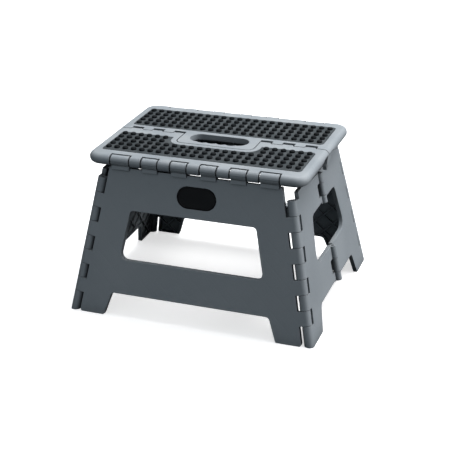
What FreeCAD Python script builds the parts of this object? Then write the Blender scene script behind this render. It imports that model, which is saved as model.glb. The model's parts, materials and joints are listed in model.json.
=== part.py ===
"""Folding step stool: two tread halves, two leg panels and four end halves on pin hinges.

Millimetres, +Z up, origin on the floor under the middle of the stool. X runs along the
stool's length and -Y is the front. The stool stands open, which is how it is used.
"""

import FreeCAD, Part
import math
import os

# Overall sizes
tread_length = 290.0
tread_depth = 210.0
tread_height = 210.0
leg_foot_depth = 135.5  # middle of the stool to the outer face of a leg panel, at the floor
end_foot_length = 166.1  # middle of the stool to the outer face of an end, at the floor
leg_lean = 10.5
end_lean = 10.93

# Tread halves
edge_radius = 7.0
tread_corner_radius = 18.0
tread_skin = 3.0
tread_wall = 2.6
seam_gap = 1.5
seam_wall_depth = 5.0
slot_wall_depth = 7.5
rim_relief_depth = 5.5
rim_relief_start = 19.0
rim_relief_end = 42.0
rim_relief_radius = 12.0
tread_rib_depth = 11.0
tread_cross_ribs = (22.5, 67.5, 112.0)  # mirrored in X
tread_long_ribs = (37.0, 56.0, 75.0)
tread_rib_width = 2.0
tongue_half_width = 52.0
tongue_reach = 31.0
tongue_corner_radius = 9.0
tongue_gap = 1.2
handle_half_length = 40.0
handle_front = 21.0
handle_back = 7.0
finger_count = 4
finger_bump = 2.6

# Grip mats and studs
mat_thickness = 1.6
mat_recess = 1.2
mat_end_margin = 13.0
mat_outer_edge = 83.5
mat_inner_edge = 15.5
mat_margin_from_tongue = 8.5
mat_corner_radius = 5.0
mat_gap = 0.25
stud_columns = 23
stud_rows = 5
stud_end_margin = 6.16
stud_pitch_y = 12.83
stud_first_row = 22.66
stud_radius = 3.7
stud_height = 3.0
stud_dome = 1.5
tongue_free_columns = 6
tongue_free_rows = 2

# Hinge between the tread halves
ridge_drop = 15.0  # ridge axis below the axes of the tread's long edges
ridge_tab_count = 3
ridge_tab_from_tongue = 8.0
ridge_tab_from_end = 25.0
ridge_tab_width = 13.5
ridge_notch_width = 16.5
ridge_notch_depth = 9.0
ridge_tab_reach = 2.5
ear_from_tongue = 3.5
ear_from_end = 4.3
ear_width = 5.0
ear_radius = 5.0
ear_root_length = 24.0
ear_root_radius = 6.0
hook_width = 10.0
hook_wall = 2.8
hook_front = 14.8
hook_slack = 0.45

# Hinges along the tread's long edges
edge_knuckles = ((19.5, 20.0), (58.5, 20.0), (98.5, 24.0))  # middle and width, mirrored in X
edge_knuckle_inset = 0.4  # knuckles below the tread's own rounded edge
edge_knuckle_gap = 2.0
edge_knuckle_clearance = 1.0
knuckle_lip_setback = 3.6
knuckle_groove = 0.6
knuckle_groove_angles = (4, 22, 40, 58)  # degrees below level
knuckle_web_overlap = 2.6
knuckle_web_back = 0.4
knuckle_web_front = 2.4
knuckle_arm_reach = 9.0

# Corner hinges
corner_radius = 6.3
corner_long_knuckle = 25.5
corner_top_drop = 32.0  # below the tread's top
corner_knuckle_count = 8
knuckle_gap = 0.5
leg_edge_gap = 2.0  # between a panel's edge and the other panel's knuckles
end_edge_gap = 1.4
finger_overlap = 3.5
leg_finger_thickness = 5.0

# Hinge down the middle of each end
centre_offset_floor = 2.3
centre_radius = 4.5
centre_web = 8.0
centre_cutback = 5.4
centre_recess = 14.0  # window in the front half round the rear half's knuckle
centre_seam = 0.8
centre_lower_levels = (30.5, 42.5, 61.5, 79.0)
centre_upper_drops = (72.0, 61.5, 44.5, 32.0)  # below the tread's top
fourth_eye_slack = 0.55

# Pins
pin_radius = 1.75
pin_clearance = 0.05

# Leg panels
leg_skin = 3.0
leg_rim_width = 3.0
leg_rim_depth = 6.5
leg_opening_rim_depth = 8.0
leg_rib_depth = 5.5
leg_top_drop = 16.0  # below the tread's top
leg_arch_height = 31.0
leg_arch_radius = 6.0
foot_sink = 0.8  # how far a foot's rounded outline runs below the floor before it is cut flat
leg_foot_radius = 4.5
leg_arch_top_half = 106.5
leg_arch_floor_half = 117.5
leg_opening_top_drop = 69.0
leg_opening_bottom = 76.0
leg_opening_top_radius = 5.0
leg_opening_bottom_radius = 8.5
leg_opening_top_half = 83.6
leg_opening_bottom_half = 97.2

# End panels
end_skin = 2.5
end_thickness = 5.5
end_rim_width = 3.0
end_rib_depth = 5.0
end_top_drop = 24.0  # below the tread's top
end_top_middle_drop = 31.0
end_top_middle_half = 28.0
end_arch_height = 32.4
end_arch_radius = 9.0
end_foot_radius = 4.0
end_arch_top_half = 77.0
end_arch_floor_half = 89.0
end_opening_top_drop = 69.0
end_opening_bottom = 79.0
end_opening_top_radius = 9.0
end_opening_bottom_radius = 13.0
end_opening_top_half = 52.0
end_opening_bottom_half = 66.5

# Ribs behind the panels
rib_width = 1.6
rib_pitch = 27.0

# Badge and foot pads
badge_length = 52.0
badge_height = 28.0
badge_thickness = 1.2
badge_recess = 0.8
badge_offset = 4.5  # to the right of the middle
badge_drop = 43.0  # below the tread's top
pad_length = 24.0
pad_width = 3.6
pad_thickness = 3.0
pad_gap = 0.2

REACH = 600.0  # larger than the stool, for cutting tools

pin_bore = pin_radius + pin_clearance
edge_knuckle_radius = edge_radius - edge_knuckle_inset
mat_half_length = tread_length / 2 - mat_end_margin
stud_pitch_x = 2 * (mat_half_length - stud_end_margin) / (stud_columns - 1)
leg_edge_inset = corner_radius + leg_edge_gap
end_edge_inset = corner_radius + end_edge_gap
leg_top = tread_height - leg_top_drop
leg_opening_top = tread_height - leg_opening_top_drop
end_top = tread_height - end_top_drop
end_top_middle = tread_height - end_top_middle_drop
end_opening_top = tread_height - end_opening_top_drop
badge_level = tread_height - badge_drop
corner_top = tread_height - corner_top_drop
corner_pitch = (corner_top - corner_long_knuckle) / corner_knuckle_count
centre_groups = (centre_lower_levels, tuple(tread_height - drop for drop in centre_upper_drops))
edge_axis_y = tread_depth / 2 - edge_radius
edge_axis_z = tread_height - edge_radius
ridge_axis_z = edge_axis_z - ridge_drop
tread_bottom = tread_height - 2 * edge_radius
leg_sin = math.sin(math.radians(leg_lean))
leg_cos = math.cos(math.radians(leg_lean))
end_sin = math.sin(math.radians(end_lean))
end_cos = math.cos(math.radians(end_lean))
corner_x_floor = end_foot_length - corner_radius / end_cos
corner_y_floor = leg_foot_depth - corner_radius / leg_cos
apex_z = corner_y_floor * leg_cos / leg_sin
apex_x = corner_x_floor - apex_z * end_sin / end_cos

first_tab = tongue_half_width + ridge_tab_from_tongue
tab_pitch = (tread_length / 2 - ridge_tab_from_end - first_tab) / (ridge_tab_count - 1)
ridge_tabs = [first_tab + i * tab_pitch for i in range(ridge_tab_count)]
ridge_ears = [tongue_half_width - ear_from_tongue]
ridge_ears += [(a + b) / 2 for a, b in zip(ridge_tabs, ridge_tabs[1:])]
ridge_ears += [tread_length / 2 - ear_from_end]


def vec(x, y, z):
    return FreeCAD.Vector(x, y, z)


def frame(origin, u, v, n):
    """Placement whose local X, Y and Z run along u, v and n."""
    rotation = FreeCAD.Rotation(u, v, n, "ZXY")
    return FreeCAD.Placement(origin, rotation)


leg_frame = frame(
    vec(0, -corner_y_floor, 0), vec(1, 0, 0), vec(0, leg_sin, leg_cos), vec(0, -leg_cos, leg_sin)
)
end_frame = frame(
    vec(end_foot_length, 0, 0), vec(0, 1, 0), vec(-end_sin, 0, end_cos), vec(end_cos, 0, end_sin)
)


def leg_v(z):
    """Distance up the leg panel's face at height z."""
    return (z - corner_radius * leg_sin) / leg_cos


def end_v(z):
    """Distance up the end's outer face at height z."""
    return z / end_cos


def corner_point(z):
    """Point of the front right corner axis at height z."""
    return vec(corner_x_floor - z * end_sin / end_cos, -corner_y_floor + z * leg_sin / leg_cos, z)


def centre_point(z):
    """Point of the right end's middle axis at height z."""
    floor_x = end_foot_length + centre_offset_floor
    return vec(floor_x + (apex_x - floor_x) * z / apex_z, 0, z)


def local(placement, point):
    return placement.inverse().multVec(point)


def outline(corners):
    """Closed wire through (x, y, radius) corners, each rounded by an arc of its radius."""
    edges = []
    count = len(corners)
    joins = []
    for i in range(count):
        here = vec(corners[i][0], corners[i][1], 0)
        before = vec(corners[i - 1][0], corners[i - 1][1], 0) - here
        after = vec(corners[(i + 1) % count][0], corners[(i + 1) % count][1], 0) - here
        radius = corners[i][2]
        before.normalize()
        after.normalize()
        if radius <= 0:
            joins.append((here, here, None))
            continue
        half = before.getAngle(after) / 2
        reach = radius / math.tan(half)
        bisector = before + after
        bisector.normalize()
        middle = here + bisector * (radius / math.sin(half) - radius)
        joins.append((here + before * reach, here + after * reach, middle))
    for i in range(count):
        start, end, middle = joins[i]
        if middle is not None:
            edges.append(Part.Arc(start, middle, end).toShape())
        next_start = joins[(i + 1) % count][0]
        if end.distanceToPoint(next_start) > 1e-6:
            edges.append(Part.makeLine(end, next_start))
    return Part.Wire(edges)


def slab(corners, low, high, placement=None):
    """Plate of the rounded outline between two levels of its frame's third axis."""
    face = Part.Face(outline(corners))
    face.translate(vec(0, 0, low))
    solid = face.extrude(vec(0, 0, high - low))
    if placement is not None:
        solid.Placement = placement
    return solid


def box(x0, x1, y0, y1, z0, z1):
    return Part.makeBox(x1 - x0, y1 - y0, z1 - z0, vec(x0, y0, z0))


def rod(start, end, radius):
    along = end - start
    return Part.makeCylinder(radius, along.Length, start, along)


def mirrored(corners):
    """Corners of the right side, in order, closed by their mirror images."""
    return corners + [(-x, y, r) for x, y, r in reversed(corners)]


def union(shapes):
    return shapes[0].multiFuse(shapes[1:]).removeSplitter()


def single(shape):
    """The one solid of a shape, so that each panel is one piece."""
    solids = sorted(shape.Solids, key=lambda s: s.Volume)
    return solids[-1]


def corner_spans(for_leg):
    """Height ranges of the corner knuckles that belong to the leg panel or to the end."""
    spans = []
    if not for_leg:
        spans.append((0.0, corner_long_knuckle))
    for i in range(corner_knuckle_count):
        bottom = corner_long_knuckle + i * corner_pitch
        if (i % 2 == 0) == for_leg:
            spans.append((bottom, bottom + corner_pitch))
    return spans


def strip(placement, inward, low, high, near, far, level_0, level_1):
    """Plate beside the corner axis, from near to far of it, with ends square to the axis."""
    base = local(placement, corner_point(low))
    tip = local(placement, corner_point(high))
    along = vec(tip.x - base.x, tip.y - base.y, 0)
    along.normalize()
    across = vec(along.y, -along.x, 0) * inward
    corners = []
    for point, reach in ((base, near), (base, far), (tip, far), (tip, near)):
        corners.append((point.x + across.x * reach, point.y + across.y * reach, 0))
    return slab(corners, level_0, level_1, placement)


def edge_offset(placement, inward, z, reach):
    """Local X of a line that runs beside the corner axis at a distance, at height z."""
    point = local(placement, corner_point(z))
    return point.x + inward * reach


def below_floor():
    return box(-REACH, REACH, -REACH, REACH, -REACH, 0)


# ---------------------------------------------------------------- leg panels


def leg_outline(inset):
    """Front leg panel's edge, moved inwards by inset."""
    top = local(leg_frame, corner_point(leg_top))
    foot = local(leg_frame, corner_point(0))
    edge = leg_edge_inset + inset
    right = [
        (top.x - edge, leg_v(leg_top) - inset, 0.8),
        (foot.x - edge - 0.2 * inset, leg_v(0) - foot_sink + inset, leg_foot_radius),
        (leg_arch_floor_half + inset, leg_v(0) - foot_sink + inset, leg_foot_radius),
        (leg_arch_top_half + inset * 0.6, leg_v(leg_arch_height) + inset, leg_arch_radius),
    ]
    return mirrored(right)


def leg_opening(grow):
    right = [
        (leg_opening_top_half + grow, leg_v(leg_opening_top) + grow, leg_opening_top_radius + grow),
        (
            leg_opening_bottom_half + grow,
            leg_v(leg_opening_bottom) - grow,
            leg_opening_bottom_radius + grow,
        ),
    ]
    return mirrored(right)


def diamonds(half_length, height, level_0, level_1, placement):
    """Diamond pockets over a panel's whole face, which leave crossed diagonal ribs."""
    step = rib_pitch / 2
    reach = step - rib_width * math.sqrt(0.5)
    square = [(reach, 0, 0), (0, reach, 0), (-reach, 0, 0), (0, -reach, 0)]
    pocket = slab(square, level_0, level_1)
    across = int(half_length / step) + 1
    upward = int(height / step) + 1
    pockets = []
    for i in range(-across, across + 1):
        for k in range(upward + 1):
            if (i + k) % 2 == 0:
                copy = pocket.copy()
                copy.translate(vec(i * step, k * step, 0))
                copy.Placement = placement.multiply(copy.Placement)
                pockets.append(copy)
    return Part.makeCompound(pockets)


def badge_outline(length, height):
    r = height / 2 - 0.01
    return [
        (length / 2, height / 2, r),
        (length / 2, -height / 2, r),
        (-length / 2, -height / 2, r),
        (-length / 2, height / 2, r),
    ]


def badge_placement():
    middle = FreeCAD.Placement(vec(badge_offset, leg_v(badge_level), 0), FreeCAD.Rotation())
    return leg_frame.multiply(middle)


def edge_spans():
    """X ranges of the knuckles on the tread's long edge."""
    spans = []
    for middle, width in edge_knuckles:
        for side in (-1, 1):
            spans.append((side * middle - width / 2, side * middle + width / 2))
    return sorted(spans)


def edge_knuckle(span):
    """Knuckle over the tread's long edge, with its arm down into the leg panel."""
    x0, x1 = span
    axis_low = vec(x0, -edge_axis_y, edge_axis_z)
    axis_high = vec(x1, -edge_axis_y, edge_axis_z)
    barrel = rod(axis_low, axis_high, edge_knuckle_radius)
    centre = local(leg_frame, axis_low)
    arm_corners = [
        (x0, leg_v(leg_top) - knuckle_arm_reach, 0),
        (x1, leg_v(leg_top) - knuckle_arm_reach, 0),
        (x1, centre.y, 0),
        (x0, centre.y, 0),
    ]
    arm = slab(arm_corners, corner_radius - leg_skin, corner_radius, leg_frame)
    back = centre.z - edge_knuckle_radius + knuckle_web_back
    web_low = leg_v(leg_top) - knuckle_web_overlap
    web_corners = [(x0, web_low, 0), (x1, web_low, 0), (x1, centre.y, 0), (x0, centre.y, 0)]
    web = slab(web_corners, back, corner_radius + knuckle_web_front, leg_frame)
    knuckle = union([barrel, arm, web])
    for turn in knuckle_groove_angles:
        angle = -math.radians(turn)
        groove_y = -edge_axis_y - edge_knuckle_radius * math.cos(angle)
        groove_z = edge_axis_z + edge_knuckle_radius * math.sin(angle)
        groove = rod(vec(x0 - 1, groove_y, groove_z), vec(x1 + 1, groove_y, groove_z), knuckle_groove)
        knuckle = knuckle.cut(groove)
    return knuckle


def leg_panel():
    outer = corner_radius
    inner = outer - leg_rim_depth
    plate = slab(leg_outline(0), inner, outer, leg_frame)
    field = slab(leg_outline(leg_rim_width), inner - 1, outer - leg_rib_depth, leg_frame)
    room = slab(leg_outline(leg_rim_width), inner, outer - leg_skin, leg_frame)
    room = room.cut(slab(leg_opening(leg_rim_width), inner - 1, outer, leg_frame))
    pockets = diamonds(corner_x_floor, leg_top, inner - 1, outer - leg_skin, leg_frame)
    plate = plate.cut(field).cut(room.common(pockets))
    deep = outer - leg_opening_rim_depth
    window_rim = slab(leg_opening(leg_rim_width), deep, outer, leg_frame)
    fingers = []
    for low, high in corner_spans(True):
        bottom = low + knuckle_gap / 2
        top = high - knuckle_gap / 2
        barrel = rod(corner_point(bottom), corner_point(top), corner_radius)
        reach = leg_edge_inset + finger_overlap
        web = strip(leg_frame, -1, bottom, top, 0, reach, outer - leg_finger_thickness, outer)
        for solid in (barrel, web):
            fingers.append(solid)
            fingers.append(solid.mirror(vec(0, 0, 0), vec(1, 0, 0)))
    knuckles = [edge_knuckle(span) for span in edge_spans()]
    panel = union([plate, window_rim] + fingers + knuckles)
    bores = [rod(vec(-REACH, -edge_axis_y, edge_axis_z), vec(REACH, -edge_axis_y, edge_axis_z), pin_bore)]
    bore = rod(corner_point(-20), corner_point(corner_top + 4), pin_bore)
    bores += [bore, bore.mirror(vec(0, 0, 0), vec(1, 0, 0))]
    window = slab(leg_opening(0), -REACH / 10, REACH / 10, leg_frame)
    recess = slab(
        badge_outline(badge_length + 2 * mat_gap, badge_height + 2 * mat_gap),
        outer - badge_recess, outer + 5, badge_placement(),
    )
    panel = panel.cut(Part.makeCompound(bores)).cut(window).cut(recess).cut(below_floor())
    for side in (-1, 1):
        panel = panel.cut(foot_pad(side, pad_gap, -1))
    return single(panel)


def foot_pad(side, grow, low):
    """Soft pad let into the underside of a leg panel's foot, or its recess."""
    middle_x = side * (leg_arch_floor_half + corner_x_floor - leg_edge_inset) / 2
    lean_shift = pad_thickness * leg_sin / leg_cos
    middle_y = -leg_foot_depth + (leg_rim_depth / leg_cos + lean_shift) / 2
    half_length = pad_length / 2 + grow
    half_width = pad_width / 2 + grow
    return box(
        middle_x - half_length, middle_x + half_length,
        middle_y - half_width, middle_y + half_width, low, pad_thickness,
    )


# ---------------------------------------------------------------- end halves


def end_outline(inset):
    """Front half of an end, in the end's frame, moved inwards by inset."""
    edge = end_edge_inset + inset
    top_x = edge_offset(end_frame, 1, end_top, edge)
    foot_x = edge_offset(end_frame, 1, 0, edge)
    seam = -centre_seam / 2 - inset
    return [
        (seam, end_v(end_arch_height) + inset, 0),
        (seam, end_v(end_top_middle) - inset, 0),
        (-end_top_middle_half - inset, end_v(end_top_middle) - inset, 0),
        (-end_top_middle_half - inset, end_v(end_top) - inset, 0),
        (top_x, end_v(end_top) - inset, 2.0),
        (foot_x, -foot_sink + inset, 0),
        (-end_arch_floor_half - inset, -foot_sink + inset, end_foot_radius),
        (-end_arch_top_half - 0.6 * inset, end_v(end_arch_height) + inset, end_arch_radius),
    ]


def end_opening(grow):
    return [
        (1.0, end_v(end_opening_bottom) - grow, 0),
        (1.0, end_v(end_opening_top) + grow, 0),
        (-end_opening_top_half - grow, end_v(end_opening_top) + grow, end_opening_top_radius + grow),
        (
            -end_opening_bottom_half - grow,
            end_v(end_opening_bottom) - grow,
            end_opening_bottom_radius + grow,
        ),
    ]


def end_half(has_outer_knuckles, eye_slack):
    """Right front half. The middle hinge's outer knuckles or its middle one belong to it."""
    plate = slab(end_outline(0), -end_thickness, 0, end_frame)
    field = slab(end_outline(end_rim_width), -end_thickness - 1, -end_rib_depth, end_frame)
    room = slab(end_outline(end_rim_width), -end_thickness - 1, -end_skin, end_frame)
    room = room.cut(slab(end_opening(end_rim_width), -REACH / 10, 0, end_frame))
    pockets = diamonds(corner_y_floor, end_top, -end_thickness - 1, -end_skin, end_frame)
    plate = plate.cut(field).cut(room.common(pockets))
    window_rim = slab(end_opening(end_rim_width), -end_thickness, 0, end_frame)
    pieces = [plate, window_rim.common(slab(end_outline(0), -end_thickness, 0, end_frame))]
    for low, high in corner_spans(False):
        bottom = low + knuckle_gap / 2 * (low > 0) - 3 * (low == 0)
        top = high - knuckle_gap / 2
        pieces.append(rod(corner_point(bottom), corner_point(top), corner_radius))
        reach = end_edge_inset + finger_overlap
        pieces.append(strip(end_frame, 1, bottom, top, 0, reach, -end_thickness, 0))
    cutters = [slab(end_opening(0), -REACH / 10, REACH / 10, end_frame)]
    knuckles = []
    for group in centre_groups:
        for i in range(3):
            low = group[i] + knuckle_gap / 2
            high = group[i + 1] - knuckle_gap / 2
            if (i != 1) == has_outer_knuckles:
                knuckles.append(rod(centre_point(low), centre_point(high), centre_radius))
                web = [(0, end_v(low), 0), (0, end_v(high), 0)]
                web += [(-centre_web, end_v(high), 0), (-centre_web, end_v(low), 0)]
                knuckles.append(slab(web, -end_thickness, 0, end_frame))
            else:
                depth = centre_recess if has_outer_knuckles else centre_cutback
                room = [(2, end_v(low - knuckle_gap), 0), (2, end_v(high + knuckle_gap), 0)]
                room += [(-depth, end_v(high + knuckle_gap), 0), (-depth, end_v(low - knuckle_gap), 0)]
                cutters.append(slab(room, -REACH / 10, REACH / 10, end_frame))
    panel = union(pieces)
    for cutter in cutters:
        panel = panel.cut(cutter)
    panel = union([panel] + knuckles)
    bores = [
        rod(corner_point(-20), corner_point(corner_top + 4), pin_bore),
        rod(centre_point(0), centre_point(end_top), pin_bore + eye_slack),
    ]
    panel = panel.cut(Part.makeCompound(bores)).cut(below_floor())
    return single(panel)


# ---------------------------------------------------------------- tread halves


def tread_blank():
    """Front half's plate with its rounded rim, before its seam side is shaped."""
    half = tread_length / 2
    corners = [
        (half, -seam_gap / 2, 0),
        (half, -tread_depth / 2, tread_corner_radius),
        (-half, -tread_depth / 2, tread_corner_radius),
        (-half, -seam_gap / 2, 0),
    ]
    plate = slab(corners, tread_bottom, tread_height)
    rounded = []
    for edge in plate.Edges:
        box_y = edge.BoundBox
        flat = box_y.ZLength < 1e-6
        on_seam = box_y.YMin > -seam_gap
        if flat and not on_seam:
            rounded.append(edge)
    plate = plate.makeFillet(edge_radius - 0.05, rounded)
    rim = edge_radius + 1
    room = [
        (half - rim, 5, 0),
        (half - rim, -tread_depth / 2 + rim, tread_corner_radius - rim),
        (-half + rim, -tread_depth / 2 + rim, tread_corner_radius - rim),
        (-half + rim, 5, 0),
    ]
    hollow = slab(room, tread_bottom - 1, tread_height - tread_skin)
    seam_wall = box(
        -half + rim, half - rim, -seam_gap / 2 - tread_wall, 0,
        tread_height - seam_wall_depth, tread_height,
    )
    hollow = hollow.cut(seam_wall)
    plate = plate.cut(hollow)
    relief = [
        (1, tread_bottom - 1, 0),
        (1, tread_height - rim_relief_depth, 0),
        (-rim_relief_start, tread_height - rim_relief_depth, rim_relief_radius),
        (-rim_relief_end, tread_bottom - 1, 0),
    ]
    relief_frame = frame(vec(-REACH / 2, 0, 0), vec(0, 1, 0), vec(0, 0, 1), vec(1, 0, 0))
    return plate.cut(slab(relief, 0, REACH, relief_frame))


def tread_ribs():
    ribs = []
    low = tread_height - tread_rib_depth
    high = tread_height - tread_skin + 0.5
    thick = tread_rib_width / 2
    half = tread_length / 2 - edge_radius
    back = -tread_depth / 2 + edge_radius
    for x in [side * rib for rib in tread_cross_ribs for side in (-1, 1)]:
        ribs.append(box(x - thick, x + thick, back, -tread_long_ribs[0] + thick, low, high))
    for y in tread_long_ribs:
        ribs.append(box(-half, half, -y - thick, -y + thick, low, high))
    return ribs


def edge_notches(plate):
    """Room for the leg panel's knuckles in the tread's long edge, and the pin's bore."""
    cutters = []
    for x0, x1 in edge_spans():
        low = x0 - edge_knuckle_gap
        high = x1 + edge_knuckle_gap
        cutters.append(
            box(low, high, -REACH, -edge_axis_y + knuckle_lip_setback, 0, tread_height + 5)
        )
        room = edge_knuckle_radius + edge_knuckle_clearance
        start = vec(low, -edge_axis_y, edge_axis_z)
        cutters.append(rod(start, vec(high, -edge_axis_y, edge_axis_z), room))
        cutters.append(box(low, high, -edge_axis_y, -edge_axis_y + room, 0, edge_axis_z))
    bore = rod(
        vec(-tread_length / 2 + tread_corner_radius + 4, -edge_axis_y, edge_axis_z),
        vec(tread_length / 2 - tread_corner_radius - 4, -edge_axis_y, edge_axis_z),
        pin_bore,
    )
    return plate.cut(Part.makeCompound(cutters)).cut(bore)


def tongue_outline(grow):
    x = tongue_half_width + grow
    y = -tongue_reach - grow
    r = tongue_corner_radius + grow
    return [(x, 4, 0), (x, y, r), (-x, y, r), (-x, 4, 0)]


def handle_opening(grow):
    """Hand slot with finger bumps along its front edge."""
    end = (handle_front + handle_back) / 2 - 0.01 + grow
    x = handle_half_length + grow
    corners = [
        (x, handle_back + grow, end),
        (x, -handle_front - grow, end),
        (-x, -handle_front - grow, end),
        (-x, handle_back + grow, end),
    ]
    slot = slab(corners, 0, REACH)
    pitch = (2 * handle_half_length - (handle_front + handle_back)) / finger_count
    bumps = []
    for i in range(finger_count):
        x_mid = (i - (finger_count - 1) / 2) * pitch
        bump = finger_bump
        radius = (pitch * pitch / 4 + bump * bump) / (2 * bump) + grow
        centre_y = -handle_front - bump + radius - grow
        bumps.append(Part.makeCylinder(radius, REACH, vec(x_mid, centre_y, 0)))
    bound = box(-x, x, -handle_front - finger_bump - grow, 0, 0, REACH)
    return union([slot] + [bump.common(bound) for bump in bumps])


def ridge_positions(places):
    return [side * x for x in places for side in (-1, 1)]


def along_x(corners, x0, x1):
    """Plate across X whose outline is given as (y, height over the ridge axis, radius)."""
    side_frame = frame(vec(x0, 0, ridge_axis_z), vec(0, 1, 0), vec(0, 0, 1), vec(1, 0, 0))
    return slab(corners, 0, x1 - x0, side_frame)


def ridge_hook(x):
    """Open hook under the front half that holds the ridge pin."""
    inside = pin_radius + hook_slack
    plate_level = tread_height - tread_skin - ridge_axis_z + 0.5
    bottom = -inside - hook_wall
    corners = [
        (-hook_front - hook_wall, plate_level, 0),
        (-hook_front - hook_wall, bottom, 3.0),
        (inside + hook_wall, bottom, 3.0),
        (inside + hook_wall, 2.0, 0.8),
        (inside, 2.0, 0.8),
        (inside, -inside, 1.4),
        (-hook_front, -inside, 2.0),
        (-hook_front, plate_level, 0),
    ]
    return along_x(corners, x - hook_width / 2, x + hook_width / 2)


def ridge_ear(x):
    """Tapered ear under the rear half that carries the ridge pin."""
    low = x - ear_width / 2
    high = x + ear_width / 2
    top = tread_height - ridge_axis_z - edge_radius
    plate_level = tread_height - tread_skin - ridge_axis_z + 0.5
    head = rod(vec(low, 0, ridge_axis_z), vec(high, 0, ridge_axis_z), ear_radius)
    corners = [
        (-ear_radius + 0.6, 1.5, 0),
        (2.0, top, 0),
        (2.0, plate_level, 0),
        (ear_root_length, plate_level, 0),
        (ear_root_length - 3, top - 2, ear_root_radius),
        (ear_radius - 0.6, -1.5, 0),
    ]
    return union([head, along_x(corners, low, high)])


def tread_front():
    plate = tread_blank()
    plate = plate.cut(slab(tongue_outline(tongue_gap), 0, REACH))
    lip = slab(tongue_outline(tongue_gap + tread_wall), tread_height - seam_wall_depth, tread_height - 1)
    lip = lip.cut(slab(tongue_outline(tongue_gap), 0, REACH))
    lip = lip.cut(box(-REACH, REACH, -seam_gap / 2, REACH, 0, REACH))
    pieces = [plate, lip]
    tab_low = tread_height - tread_skin - 3
    for x in ridge_positions(ridge_tabs):
        half = ridge_tab_width / 2
        pieces.append(
            box(x - half, x + half, -seam_gap / 2 - 2, ridge_tab_reach, tab_low, tread_height)
        )
        pieces.append(ridge_hook(x))
    plate = union(pieces + tread_ribs())
    plate = plate.cut(slab(tongue_outline(tongue_gap), 0, REACH))
    plate = edge_notches(plate)
    plate = plate.cut(mat_solid(True, mat_gap, 5))
    return single(plate)


def tread_rear():
    """Rear half, made as a front half and turned round, then given the tongue."""
    half = union([tread_blank()] + tread_ribs())
    half = edge_notches(half)
    half = half.cut(mat_solid(False, mat_gap, 5))
    half.rotate(vec(0, 0, 0), vec(0, 0, 1), 180)
    low = tread_height - slot_wall_depth
    tongue = slab(tongue_outline(0), tread_height - tread_skin, tread_height)
    wall = slab(tongue_outline(0), low, tread_height).cut(
        slab(tongue_outline(-tread_wall), low - 1, tread_height)
    )
    wall = wall.cut(box(-REACH, REACH, -1, REACH, 0, REACH))
    slot_wall = handle_opening(tread_wall).common(box(-REACH, REACH, -REACH, REACH, low, tread_height))
    pieces = [half, tongue, wall, slot_wall]
    pieces += [ridge_ear(x) for x in ridge_positions(ridge_ears)]
    plate = union(pieces).cut(handle_opening(0))
    for x in ridge_positions(ridge_tabs):
        width = ridge_notch_width / 2
        plate = plate.cut(box(x - width, x + width, -1, ridge_notch_depth, 0, REACH))
    bore = rod(vec(-REACH, 0, ridge_axis_z), vec(REACH, 0, ridge_axis_z), pin_bore)
    return single(plate.cut(bore))


def mat_solid(around_tongue, grow, rise):
    """Grip mat of the front half, let into the plate. rise lifts its top, for the recess."""
    x = mat_half_length + grow
    outer = -mat_outer_edge - grow
    inner = -mat_inner_edge + grow
    r = mat_corner_radius
    corners = [(x, inner, r), (x, outer, r), (-x, outer, r), (-x, inner, r)]
    low = tread_height - mat_recess
    high = low + mat_thickness + rise
    mat = slab(corners, low, high)
    if around_tongue:
        mat = mat.cut(slab(tongue_outline(mat_margin_from_tongue - grow), 0, REACH))
    return mat


def grip_mat(around_tongue):
    mat = mat_solid(around_tongue, 0, 0)
    if not around_tongue:
        mat.rotate(vec(0, 0, 0), vec(0, 0, 1), 180)
    return mat


def grip_studs(is_front):
    """Domed studs on the mat, in a square grid that leaves the tongue free."""
    level = tread_height - mat_recess + mat_thickness
    stud = Part.makeCylinder(stud_radius, stud_height)
    stud = stud.makeFillet(stud_dome, [stud.Edges[0]])
    studs = []
    middle = (stud_columns - 1) / 2
    for row in range(stud_rows):
        y = stud_first_row + row * stud_pitch_y
        for column in range(stud_columns):
            across = abs(column - middle)
            if is_front and row < tongue_free_rows and across < tongue_free_columns:
                continue
            copy = stud.copy()
            x = (column - middle) * stud_pitch_x
            copy.translate(vec(x, -y if is_front else y, level))
            studs.append(copy)
    return Part.makeCompound(studs)


# ---------------------------------------------------------------- small pieces


def edge_pin():
    reach = edge_spans()[-1][1]
    return rod(vec(-reach, -edge_axis_y, edge_axis_z), vec(reach, -edge_axis_y, edge_axis_z), pin_radius)


def ridge_pin():
    start = ridge_ears[0] - ear_width / 2
    end = ridge_ears[-1] + ear_width / 2
    return rod(vec(start, 0, ridge_axis_z), vec(end, 0, ridge_axis_z), pin_radius)


def corner_pin():
    return rod(corner_point(4), corner_point(corner_top - 1), pin_radius)


def centre_pin(group):
    return rod(centre_point(group[0] + 1), centre_point(group[3] - 1), pin_radius)


def badge():
    base = corner_radius - badge_recess
    return slab(badge_outline(badge_length, badge_height), base, base + badge_thickness, badge_placement())


def save(name, shape):
    shape.exportStep(os.path.join("parts", name + ".step"))
    print(name, "solids", len(shape.Solids), "volume", round(shape.Volume), "valid", shape.isValid())


def flip_x(shape):
    return shape.mirror(vec(0, 0, 0), vec(1, 0, 0))


def flip_y(shape):
    return shape.mirror(vec(0, 0, 0), vec(0, 1, 0))


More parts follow.
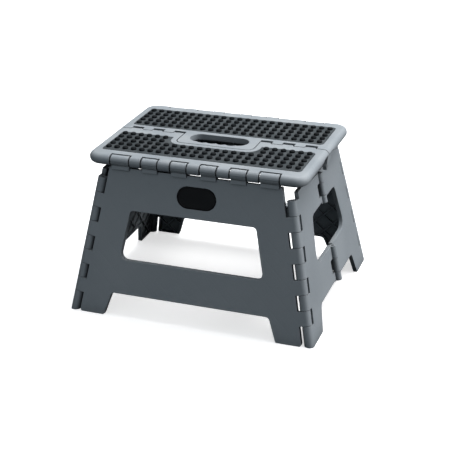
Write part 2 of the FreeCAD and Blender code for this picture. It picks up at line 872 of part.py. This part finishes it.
def main():
    os.makedirs("parts", exist_ok=True)
    save("tread_front_half", tread_front())
    save("tread_rear_half", tread_rear())
    save("grip_mat_front", grip_mat(True))
    save("grip_mat_rear", grip_mat(False))
    save("grip_studs_front", grip_studs(True))
    save("grip_studs_rear", grip_studs(False))
    leg = leg_panel()
    save("front_leg_panel", leg)
    save("rear_leg_panel", flip_y(leg))
    save("badge_plate", badge())
    outer_half = end_half(True, 0)
    save("right_end_front_half", outer_half)
    save("left_end_front_half", flip_x(outer_half))
    save("left_end_rear_half", flip_x(flip_y(end_half(False, 0))))
    save("right_end_rear_half", flip_y(end_half(False, fourth_eye_slack)))
    save("front_edge_pin", edge_pin())
    save("rear_edge_pin", flip_y(edge_pin()))
    save("ridge_pin_right", ridge_pin())
    save("ridge_pin_left", flip_x(ridge_pin()))
    pin = corner_pin()
    save("corner_pin_front_right", pin)
    save("corner_pin_front_left", flip_x(pin))
    save("corner_pin_rear_right", flip_y(pin))
    save("corner_pin_rear_left", flip_x(flip_y(pin)))
    for level, group in zip(("lower", "upper"), centre_groups):
        save("centre_pin_right_" + level, centre_pin(group))
        save("centre_pin_left_" + level, flip_x(centre_pin(group)))
    for side, name in ((-1, "left"), (1, "right")):
        pad = foot_pad(side, 0, 0)
        save("foot_pad_front_" + name, pad)
        save("foot_pad_rear_" + name, flip_y(pad))


main()
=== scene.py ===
import json
import math
import bmesh
import bpy
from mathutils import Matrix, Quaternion, Vector


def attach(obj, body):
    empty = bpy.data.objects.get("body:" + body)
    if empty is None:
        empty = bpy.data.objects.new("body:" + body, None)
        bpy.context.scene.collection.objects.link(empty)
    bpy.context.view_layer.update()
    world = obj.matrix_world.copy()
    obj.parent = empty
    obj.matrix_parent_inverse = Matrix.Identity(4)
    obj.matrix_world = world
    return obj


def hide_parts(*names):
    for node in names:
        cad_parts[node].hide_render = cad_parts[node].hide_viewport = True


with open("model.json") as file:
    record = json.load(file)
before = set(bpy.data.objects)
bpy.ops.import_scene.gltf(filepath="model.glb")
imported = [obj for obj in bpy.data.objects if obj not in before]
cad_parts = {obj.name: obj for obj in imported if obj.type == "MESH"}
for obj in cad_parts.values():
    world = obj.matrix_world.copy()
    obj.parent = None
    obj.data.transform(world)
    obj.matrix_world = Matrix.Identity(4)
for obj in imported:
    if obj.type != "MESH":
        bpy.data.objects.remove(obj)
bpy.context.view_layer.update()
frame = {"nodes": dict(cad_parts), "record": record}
print("frame loaded:", len(frame["nodes"]), "nodes")


# node helpers

def newGroup(name, inputs, outputs):
    group = bpy.data.node_groups.new(name, "ShaderNodeTree")
    for label, kind, value in inputs:
        socket = group.interface.new_socket(name=label, in_out="INPUT", socket_type="NodeSocket" + kind)
        if value is not None:
            socket.default_value = value
    for label, kind in outputs:
        group.interface.new_socket(name=label, in_out="OUTPUT", socket_type="NodeSocket" + kind)
    return group, group.nodes.new("NodeGroupInput"), group.nodes.new("NodeGroupOutput")


def addNode(tree, kind, values=None, **settings):
    node = tree.nodes.new("ShaderNode" + kind)
    for key, value in settings.items():
        setattr(node, key, value)
    for key, value in (values or {}).items():
        if isinstance(value, bpy.types.NodeSocket):
            tree.links.new(value, node.inputs[key])
        else:
            node.inputs[key].default_value = value
    return node


def maths(tree, operation, a, b=0.0, clamp=False):
    return addNode(tree, "Math", {0: a, 1: b}, operation=operation, use_clamp=clamp).outputs[0]


def mixColour(tree, amount, a, b):
    return addNode(tree, "Mix", {0: amount, 6: a, 7: b}, data_type="RGBA").outputs[2]


def ramp(tree, value, low, high, outLow=0.0, outHigh=1.0):
    return addNode(tree, "MapRange", {0: value, 1: low, 2: high, 3: outLow, 4: outHigh}).outputs[0]


def bumped(tree, height, depth, normal, invert=False):
    values = {"Height": height, "Distance": depth, "Normal": normal}
    return addNode(tree, "Bump", values, invert=invert).outputs[0]


def objectPoint(tree):
    return addNode(tree, "TexCoord").outputs["Object"]


# effects shared by several materials

def makeMouldGrain():  # fine spark-eroded texture with slow colour drift
    group, gin, gout = newGroup(
        "mouldGrain",
        [("Scale", "Float", 1500.0), ("Drift Scale", "Float", 14.0)],
        [("Height", "Float"), ("Drift", "Float")],
    )
    point = objectPoint(group)
    fine = addNode(group, "TexNoise", {"Vector": point, "Scale": gin.outputs["Scale"], "Detail": 3.0})
    slow = addNode(group, "TexNoise", {"Vector": point, "Scale": gin.outputs["Drift Scale"], "Detail": 4.0})
    group.links.new(ramp(group, fine.outputs["Fac"], 0.35, 0.65), gout.inputs["Height"])
    group.links.new(ramp(group, slow.outputs["Fac"], 0.3, 0.7), gout.inputs["Drift"])
    return group


def makeEdgeWear():  # worn corners, broken up so that no line runs unbroken
    group, gin, gout = newGroup(
        "edgeWear",
        [("Radius", "Float", 0.0008), ("Break Scale", "Float", 120.0), ("Break", "Float", 0.5)],
        [("Mask", "Float"), ("Normal", "Vector")],
    )
    soft = addNode(group, "Bevel", {"Radius": gin.outputs["Radius"]}, samples=6)
    hard = addNode(group, "NewGeometry").outputs["Normal"]
    dot = addNode(group, "VectorMath", {0: soft.outputs[0], 1: hard}, operation="DOT_PRODUCT")
    noise = addNode(
        group, "TexNoise", {"Vector": objectPoint(group), "Scale": gin.outputs["Break Scale"], "Detail": 5.0}
    )
    edge = ramp(group, dot.outputs["Value"], 0.995, 0.86)
    broken = maths(group, "MULTIPLY", ramp(group, noise.outputs["Fac"], 0.38, 0.62), gin.outputs["Break"])
    kept = maths(group, "SUBTRACT", 1.0, broken)
    group.links.new(maths(group, "MULTIPLY", edge, kept, clamp=True), gout.inputs["Mask"])
    group.links.new(soft.outputs[0], gout.inputs["Normal"])
    return group


def makeDustFilm():  # faint dust on faces that look up
    group, gin, gout = newGroup(
        "dustFilm",
        [("Amount", "Float", 0.2), ("Patch Scale", "Float", 35.0)],
        [("Mask", "Float")],
    )
    up = addNode(group, "SeparateXYZ", {0: addNode(group, "NewGeometry").outputs["Normal"]}).outputs["Z"]
    noise = addNode(
        group, "TexNoise", {"Vector": objectPoint(group), "Scale": gin.outputs["Patch Scale"], "Detail": 6.0}
    )
    facing = ramp(group, up, 0.3, 0.95)
    patch = maths(group, "MULTIPLY", ramp(group, noise.outputs["Fac"], 0.42, 0.7), gin.outputs["Amount"])
    group.links.new(maths(group, "MULTIPLY", facing, patch, clamp=True), gout.inputs["Mask"])
    return group


def makeSinkLines():  # the crossed ribs behind a panel show through as faint hollows
    group, gin, gout = newGroup(
        "sinkLines",
        [("Along", "Float", 0.0), ("Up", "Float", 0.0), ("Pitch", "Float", 0.027), ("Width", "Float", 0.003)],
        [("Mask", "Float")],
    )
    lines = []
    for operation in ("ADD", "SUBTRACT"):
        across = maths(group, operation, gin.outputs["Along"], gin.outputs["Up"])
        cell = maths(group, "FRACT", maths(group, "DIVIDE", across, gin.outputs["Pitch"]))
        away = maths(group, "ABSOLUTE", maths(group, "SUBTRACT", cell, 0.5))
        away = maths(group, "MULTIPLY", away, gin.outputs["Pitch"])
        near = maths(group, "DIVIDE", away, gin.outputs["Width"])
        lines.append(maths(group, "SUBTRACT", 1.0, near, clamp=True))
    both = maths(group, "MAXIMUM", lines[0], lines[1])
    smooth = addNode(group, "MapRange", {0: both}, interpolation_type="SMOOTHSTEP").outputs[0]
    group.links.new(smooth, gout.inputs["Mask"])
    return group


def makeGapShade():  # pockets, gaps and inner faces see little light
    group, gin, gout = newGroup(
        "gapShade",
        [("Reach", "Float", 0.02), ("Depth", "Float", 0.6)],
        [("Light", "Float")],
    )
    clear = addNode(group, "AmbientOcclusion", {"Distance": gin.outputs["Reach"]}, samples=6).outputs["AO"]
    shut = maths(group, "SUBTRACT", 1.0, ramp(group, clear, 0.15, 0.85))
    lost = maths(group, "MULTIPLY", shut, gin.outputs["Depth"])
    group.links.new(maths(group, "SUBTRACT", 1.0, lost), gout.inputs["Light"])
    return group


mouldGrain = makeMouldGrain()
gapShade = makeGapShade()
edgeWear = makeEdgeWear()
dustFilm = makeDustFilm()
sinkLines = makeSinkLines()


def useGroup(tree, group, **values):
    node = tree.nodes.new("ShaderNodeGroup")
    node.node_tree = group
    for key, value in values.items():
        socket = node.inputs[key.replace("_", " ")]
        if isinstance(value, bpy.types.NodeSocket):
            tree.links.new(value, socket)
        else:
            socket.default_value = value
    return node


def newMaterial(name):
    material = bpy.data.materials.new(name)
    material.use_nodes = True
    tree = material.node_tree
    return material, tree, tree.nodes["Principled BSDF"]


# materials

shellLook = {
    "colour": (0.300, 0.335, 0.365, 1.0),
    "lighter": (0.345, 0.380, 0.410, 1.0),
    "worn": (0.52, 0.55, 0.58, 1.0),
    "dust": (0.62, 0.61, 0.58, 1.0),
    "wear": 0.55,
    "edgeRadius": 0.0009,
    "grainDepth": 0.00004,
    "sinkDepth": 0.00004,
    "roughLow": 0.42,
    "roughHigh": 0.55,
    "dustAmount": 0.16,
    "dustRough": 0.5,
    "ribPitch": 0.027,
    "ribWidth": 0.0026,
    "shadeReach": 0.03,
    "shadeDepth": 0.8,
    "shaded": (0.010, 0.012, 0.014, 1.0),
    "legLean": 10.5,
    "endLean": 10.93,
}


def shellPlastic(name, panel=None):
    look = shellLook
    material, tree, shader = newMaterial(name)
    grain = useGroup(tree, mouldGrain, Scale=1500.0, Drift_Scale=14.0)
    edge = useGroup(tree, edgeWear, Radius=look["edgeRadius"], Break_Scale=120.0, Break=0.5)
    dust = useGroup(tree, dustFilm, Amount=look["dustAmount"], Patch_Scale=30.0)
    base = mixColour(tree, grain.outputs["Drift"], look["colour"], look["lighter"])
    worn = mixColour(tree, maths(tree, "MULTIPLY", edge.outputs["Mask"], look["wear"]), base, look["worn"])
    dusty = mixColour(tree, dust.outputs["Mask"], worn, look["dust"])
    shade = useGroup(tree, gapShade, Reach=look["shadeReach"], Depth=look["shadeDepth"])
    lit = mixColour(tree, shade.outputs["Light"], look["shaded"], dusty)
    tree.links.new(lit, shader.inputs["Base Color"])
    rough = ramp(tree, grain.outputs["Drift"], 0.0, 1.0, look["roughLow"], look["roughHigh"])
    dulled = maths(tree, "MULTIPLY", dust.outputs["Mask"], look["dustRough"])
    tree.links.new(maths(tree, "ADD", rough, dulled), shader.inputs["Roughness"])
    normal = edge.outputs["Normal"]
    if panel:
        place = addNode(tree, "SeparateXYZ", {0: objectPoint(tree)})
        lean = math.cos(math.radians(look[panel + "Lean"]))
        along = place.outputs["X" if panel == "leg" else "Y"]
        up = maths(tree, "DIVIDE", place.outputs["Z"], lean)
        sink = useGroup(tree, sinkLines, Along=along, Up=up, Pitch=look["ribPitch"], Width=look["ribWidth"])
        normal = bumped(tree, sink.outputs["Mask"], look["sinkDepth"], normal, invert=True)
    fine = bumped(tree, grain.outputs["Height"], look["grainDepth"], normal)
    tree.links.new(fine, shader.inputs["Normal"])
    return material


matLook = {
    "colour": (0.050, 0.060, 0.066, 1.0),
    "lighter": (0.066, 0.077, 0.084, 1.0),
    "dust": (0.24, 0.25, 0.26, 1.0),
    "grainDepth": 0.00006,
}


def matRubber(name, look, dustAmount, roughness, specular):
    material, tree, shader = newMaterial(name)
    grain = useGroup(tree, mouldGrain, Scale=2200.0, Drift_Scale=22.0)
    dust = useGroup(tree, dustFilm, Amount=dustAmount, Patch_Scale=60.0)
    edge = useGroup(tree, edgeWear, Radius=0.0005, Break_Scale=200.0, Break=0.6)
    base = mixColour(tree, grain.outputs["Drift"], look["colour"], look["lighter"])
    dusty = mixColour(tree, dust.outputs["Mask"], base, look["dust"])
    tree.links.new(dusty, shader.inputs["Base Color"])
    rough = ramp(tree, grain.outputs["Drift"], 0.0, 1.0, roughness, roughness + 0.1)
    tree.links.new(rough, shader.inputs["Roughness"])
    bump = bumped(tree, grain.outputs["Height"], look["grainDepth"], edge.outputs["Normal"])
    tree.links.new(bump, shader.inputs["Normal"])
    shader.inputs["Specular IOR Level"].default_value = specular
    return material


studLook = {
    "colour": (0.006, 0.008, 0.010, 1.0),
    "lighter": (0.010, 0.013, 0.016, 1.0),
    "dust": (0.10, 0.105, 0.11, 1.0),
    "grainDepth": 0.00004,
}


pinLook = {
    "colour": (0.42, 0.42, 0.43, 1.0),
    "lighter": (0.55, 0.55, 0.55, 1.0),
    "grainDepth": 0.00002,
    "roughLow": 0.28,
    "roughHigh": 0.42,
}


def steelPin(name, look):
    material, tree, shader = newMaterial(name)
    grain = useGroup(tree, mouldGrain, Scale=900.0, Drift_Scale=60.0)
    edge = useGroup(tree, edgeWear, Radius=0.0003, Break_Scale=300.0, Break=0.3)
    base = mixColour(tree, grain.outputs["Drift"], look["colour"], look["lighter"])
    tree.links.new(base, shader.inputs["Base Color"])
    shader.inputs["Metallic"].default_value = 1.0
    rough = ramp(tree, grain.outputs["Height"], 0.0, 1.0, look["roughLow"], look["roughHigh"])
    tree.links.new(rough, shader.inputs["Roughness"])
    bump = bumped(tree, grain.outputs["Height"], look["grainDepth"], edge.outputs["Normal"])
    tree.links.new(bump, shader.inputs["Normal"])
    return material


badgeLook = {
    "colour": (0.004, 0.004, 0.005, 1.0),
    "lighter": (0.009, 0.009, 0.011, 1.0),
    "worn": (0.12, 0.12, 0.13, 1.0),
    "wear": 0.3,
    "roughLow": 0.42,
    "roughHigh": 0.52,
    "specular": 0.15,
}


def badgeGloss(name, look):
    material, tree, shader = newMaterial(name)
    grain = useGroup(tree, mouldGrain, Scale=700.0, Drift_Scale=40.0)
    edge = useGroup(tree, edgeWear, Radius=0.0004, Break_Scale=220.0, Break=0.5)
    base = mixColour(tree, grain.outputs["Drift"], look["colour"], look["lighter"])
    worn = mixColour(tree, maths(tree, "MULTIPLY", edge.outputs["Mask"], look["wear"]), base, look["worn"])
    tree.links.new(worn, shader.inputs["Base Color"])
    rough = ramp(tree, grain.outputs["Drift"], 0.0, 1.0, look["roughLow"], look["roughHigh"])
    tree.links.new(rough, shader.inputs["Roughness"])
    shader.inputs["Specular IOR Level"].default_value = look["specular"]
    tree.links.new(edge.outputs["Normal"], shader.inputs["Normal"])
    return material


looks = {
    "shell": shellPlastic("greyShell"),
    "leg": shellPlastic("greyLegPanel", "leg"),
    "end": shellPlastic("greyEndPanel", "end"),
    "mat": matRubber("treadMatSheet", matLook, 0.18, 0.66, 0.2),
    "stud": matRubber("studRubber", studLook, 0.05, 0.62, 0.12),
    "pad": matRubber("footPadRubber", studLook, 0.3, 0.7, 0.3),
    "pin": steelPin("drawnSteel", pinLook),
    "badge": badgeGloss("blankBadge", badgeLook),
}
# the last name that fits a node decides
nodeLooks = {"leg_panel": "leg", "_half": "end", "tread_": "shell", "grip_mat": "mat", "stud": "stud",
             "pin": "pin", "badge": "badge", "foot_pad": "pad"}


def lookOf(node):
    found = "shell"
    for part, look in nodeLooks.items():
        if part in node:
            found = look
    return found


def nodeObject(node):
    return frame["nodes"][node]


for node in frame["nodes"]:
    cadObject = nodeObject(node)
    cadObject.data.materials.clear()
    cadObject.data.materials.append(looks[lookOf(node)])
print("materials placed on", len(frame["nodes"]), "nodes")


# pieces made here in place of the plain CAD ones

def mergedMesh(node, reach=0.00001):  # the CAD node's surface as one closed bmesh
    bm = bmesh.new()
    bm.from_mesh(nodeObject(node).data)
    bmesh.ops.remove_doubles(bm, verts=bm.verts, dist=reach)
    bmesh.ops.dissolve_limit(bm, angle_limit=0.01, verts=bm.verts, edges=bm.edges)
    return bm


def islandsOf(bm):
    left = set(bm.verts)
    groups = []
    while left:
        queue = [left.pop()]
        group = list(queue)
        while queue:
            for edge in queue.pop().link_edges:
                for vert in edge.verts:
                    if vert in left:
                        left.remove(vert)
                        queue.append(vert)
                        group.append(vert)
        groups.append(group)
    return groups


def placePiece(name, bm, node, angle=35.0):
    bmesh.ops.recalc_face_normals(bm, faces=bm.faces)
    mesh = bpy.data.meshes.new(name)
    for face in bm.faces:
        face.smooth = True
    for edge in bm.edges:
        if len(edge.link_faces) == 2 and edge.calc_face_angle(0.0) > math.radians(angle):
            edge.smooth = False
    bm.to_mesh(mesh)
    bm.free()
    piece = bpy.data.objects.new(name, mesh)
    bpy.context.collection.objects.link(piece)
    mesh.materials.append(looks[lookOf(node)])
    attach(piece, bodyOf[node])
    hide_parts(node)
    return piece


def sharpEdges(bm, degrees):
    return [e for e in bm.edges if len(e.link_faces) == 2 and e.calc_face_angle(0.0) > math.radians(degrees)]


def roundEdges(bm, edges, width, segments):
    bmesh.ops.bevel(bm, geom=edges, offset=width, offset_type="OFFSET", segments=segments, profile=0.5,
                    affect="EDGES", material=-1, clamp_overlap=True)


studShape = {  # each ring is a share of the radius and of the height
    "sides": 12,
    "rings": ((1.0, 0.0), (1.0, 0.5), (0.86, 0.8), (0.5, 0.96)),
}


def makeStuds(node):  # smooth domed dots, one for each CAD dot
    source = mergedMesh(node)
    dots = []
    for group in islandsOf(source):
        low = Vector([min(v.co[k] for v in group) for k in range(3)])
        high = Vector([max(v.co[k] for v in group) for k in range(3)])
        dots.append((low, high))
    source.free()
    bm = bmesh.new()
    sides = studShape["sides"]
    for low, high in dots:
        middle = (low + high) / 2
        radius = (high.x - low.x) / 2
        rings = []
        for share, rise in studShape["rings"]:
            ring = []
            for k in range(sides):
                turn = 2 * math.pi * k / sides
                reach = radius * share
                spot = (reach * math.cos(turn), reach * math.sin(turn), low.z + (high.z - low.z) * rise)
                ring.append(bm.verts.new((middle.x + spot[0], middle.y + spot[1], spot[2])))
            rings.append(ring)
        top = bm.verts.new((middle.x, middle.y, high.z))
        bm.faces.new(list(reversed(rings[0])))
        for lower, upper in zip(rings, rings[1:]):
            for k in range(sides):
                bm.faces.new((lower[k], lower[(k + 1) % sides], upper[(k + 1) % sides], upper[k]))
        for k in range(sides):
            bm.faces.new((rings[-1][k], rings[-1][(k + 1) % sides], top))
    print("studs on", node, len(dots))
    return placePiece(node + "_domed", bm, node, 60.0)


badgeShape = {  # each layer is a step in from the edge and a share of the thickness down from the face
    "sides": 14,
    "layers": ((0.0, 1.0), (0.0, 0.55), (0.0002, 0.2), (0.0006, 0.0), (0.0019, 0.0), (0.0023, 0.45)),
}


def makeBadge(node):  # blank plate: a raised rim round a sunk plain field
    source = mergedMesh(node)
    facing = [f for f in source.faces if f.normal.y < -0.5]
    front = max(facing, key=lambda f: f.calc_area()).normal.normalized()
    along = Vector((1.0, 0.0, 0.0))
    up = front.cross(along).normalized()
    spans = []
    for direction in (along, up, front):
        reach = [v.co.dot(direction) for v in source.verts]
        spans.append((min(reach), max(reach)))
    source.free()
    (left, right), (low, high), (back, face) = spans
    radius = (high - low) / 2
    bm = bmesh.new()
    rings = []
    for inset, sink in badgeShape["layers"]:
        ring = []
        for k in range(2 * badgeShape["sides"]):
            half, step = divmod(k, badgeShape["sides"])
            turn = math.pi * (half + step / (badgeShape["sides"] - 1)) - math.pi / 2
            centre = (right - radius) if half == 0 else (left + radius)
            reach = radius - inset
            ring.append(bm.verts.new(along * (centre + reach * math.cos(turn))
                                     + up * ((low + high) / 2 + reach * math.sin(turn))
                                     + front * (face - (face - back) * sink)))
        rings.append(ring)
    bm.faces.new(list(reversed(rings[0])))
    for lower, upper in zip(rings, rings[1:]):
        for k in range(len(lower)):
            after = (k + 1) % len(lower)
            bm.faces.new((lower[k], lower[after], upper[after], upper[k]))
    bm.faces.new(rings[-1])
    return placePiece(node + "_rimmed", bm, node)


edgeShape = {"foot_pad": (0.0005, 2), "pin": (0.0004, 2), "grip_mat": (0.0003, 2)}  # width, segments


def makeSoftened(node, width, segments):  # the same shape with its sharp edges rounded
    bm = mergedMesh(node)
    roundEdges(bm, sharpEdges(bm, 50.0), width, segments)
    return placePiece(node + "_softened", bm, node)


bodyOf = {node: body for body, members in frame["record"]["behaviour"]["bodies"].items() for node in members}
madePieces = []
for node in sorted(frame["nodes"]):
    if "stud" in node:
        madePieces.append(makeStuds(node))
    elif "badge" in node:
        madePieces.append(makeBadge(node))
    else:
        for part, (width, segments) in edgeShape.items():
            if part in node:
                madePieces.append(makeSoftened(node, width, segments))
print("pieces made:", len(madePieces))


# floor, lights and camera

stage = {
    "floorSize": 12.0,
    "floorColour": (0.90, 0.90, 0.90, 1.0),
    "camera": (0.4979, -1.3519, 0.7341),
    "lens": 94.18,
    "azimuth": 20.087,
    "elevation": 24.214,
    "roll": -0.775,
    "world": 0.34,
    "worldLow": 0.05,
    "worldHigh": 0.55,
    "floorGlow": 0.62,
}
lights = [  # name, place, aim, size, watts, colour
    ("overheadSoftbox", (0.35, 0.75, 2.1), (0.0, 0.0, 0.15), 1.6, 49.0, (1.0, 1.0, 1.0)),
    ("rightSoftbox", (2.0, 0.35, 0.9), (0.0, 0.0, 0.1), 1.0, 24.5, (1.0, 1.0, 1.0)),
    ("lowFill", (-0.25, -1.25, 0.12), (0.0, -0.1, 0.05), 0.7, 1.7, (0.82, 0.93, 1.0)),
]


def makeFloor():
    mesh = bpy.data.meshes.new("studioFloor")
    bm = bmesh.new()
    bmesh.ops.create_grid(bm, x_segments=2, y_segments=2, size=stage["floorSize"] / 2)
    bm.to_mesh(mesh)
    bm.free()
    floor = bpy.data.objects.new("studioFloor", mesh)
    bpy.context.collection.objects.link(floor)
    material, tree, shader = newMaterial("paleFloor")
    noise = addNode(tree, "TexNoise", {"Vector": objectPoint(tree), "Scale": 3.0})
    tone = mixColour(tree, noise.outputs["Fac"], stage["floorColour"], (0.93, 0.93, 0.93, 1.0))
    tree.links.new(tone, shader.inputs["Base Color"])
    shader.inputs["Roughness"].default_value = 0.9
    shader.inputs["Specular IOR Level"].default_value = 0.0
    shader.inputs["Emission Color"].default_value = (1.0, 1.0, 1.0, 1.0)
    shader.inputs["Emission Strength"].default_value = stage["floorGlow"]
    mesh.materials.append(material)
    floor.visible_diffuse = False
    floor.visible_glossy = False


def makeLights():
    for name, place, aim, size, watts, colour in lights:
        data = bpy.data.lights.new(name, "AREA")
        data.shape = "SQUARE"
        data.size = size
        data.energy = watts
        data.color = colour
        lamp = bpy.data.objects.new(name, data)
        lamp.location = place
        lamp.visible_camera = False
        lamp.rotation_mode = "QUATERNION"
        lamp.rotation_quaternion = (Vector(aim) - Vector(place)).to_track_quat("-Z", "Y")
        bpy.context.collection.objects.link(lamp)
    world = bpy.data.worlds.new("studioAir")
    world.use_nodes = True
    tree = world.node_tree
    background = tree.nodes["Background"]
    background.inputs["Color"].default_value = (0.90, 0.95, 1.0, 1.0)
    rise = addNode(tree, "SeparateXYZ", {0: addNode(tree, "TexCoord").outputs["Generated"]}).outputs["Z"]
    strength = ramp(tree, rise, stage["worldLow"], stage["worldHigh"], 0.0, stage["world"])
    tree.links.new(strength, background.inputs["Strength"])
    bpy.context.scene.world = world


def makeCamera():
    data = bpy.data.cameras.new("catalogueCamera")
    data.lens = stage["lens"]
    data.sensor_width = 36.0
    camera = bpy.data.objects.new("catalogueCamera", data)
    a = math.radians(stage["azimuth"])
    e = math.radians(stage["elevation"])
    back = Vector((math.sin(a) * math.cos(e), -math.cos(a) * math.cos(e), math.sin(e)))
    camera.rotation_mode = "QUATERNION"
    turn = Quaternion((0.0, 0.0, 1.0), math.radians(stage["roll"]))
    camera.rotation_quaternion = (-back).to_track_quat("-Z", "Y") @ turn
    camera.location = stage["camera"]
    bpy.context.collection.objects.link(camera)
    bpy.context.scene.camera = camera


makeFloor()
makeLights()
makeCamera()
bpy.context.scene.view_settings.view_transform = "Standard"
print("floor, lights and camera placed")
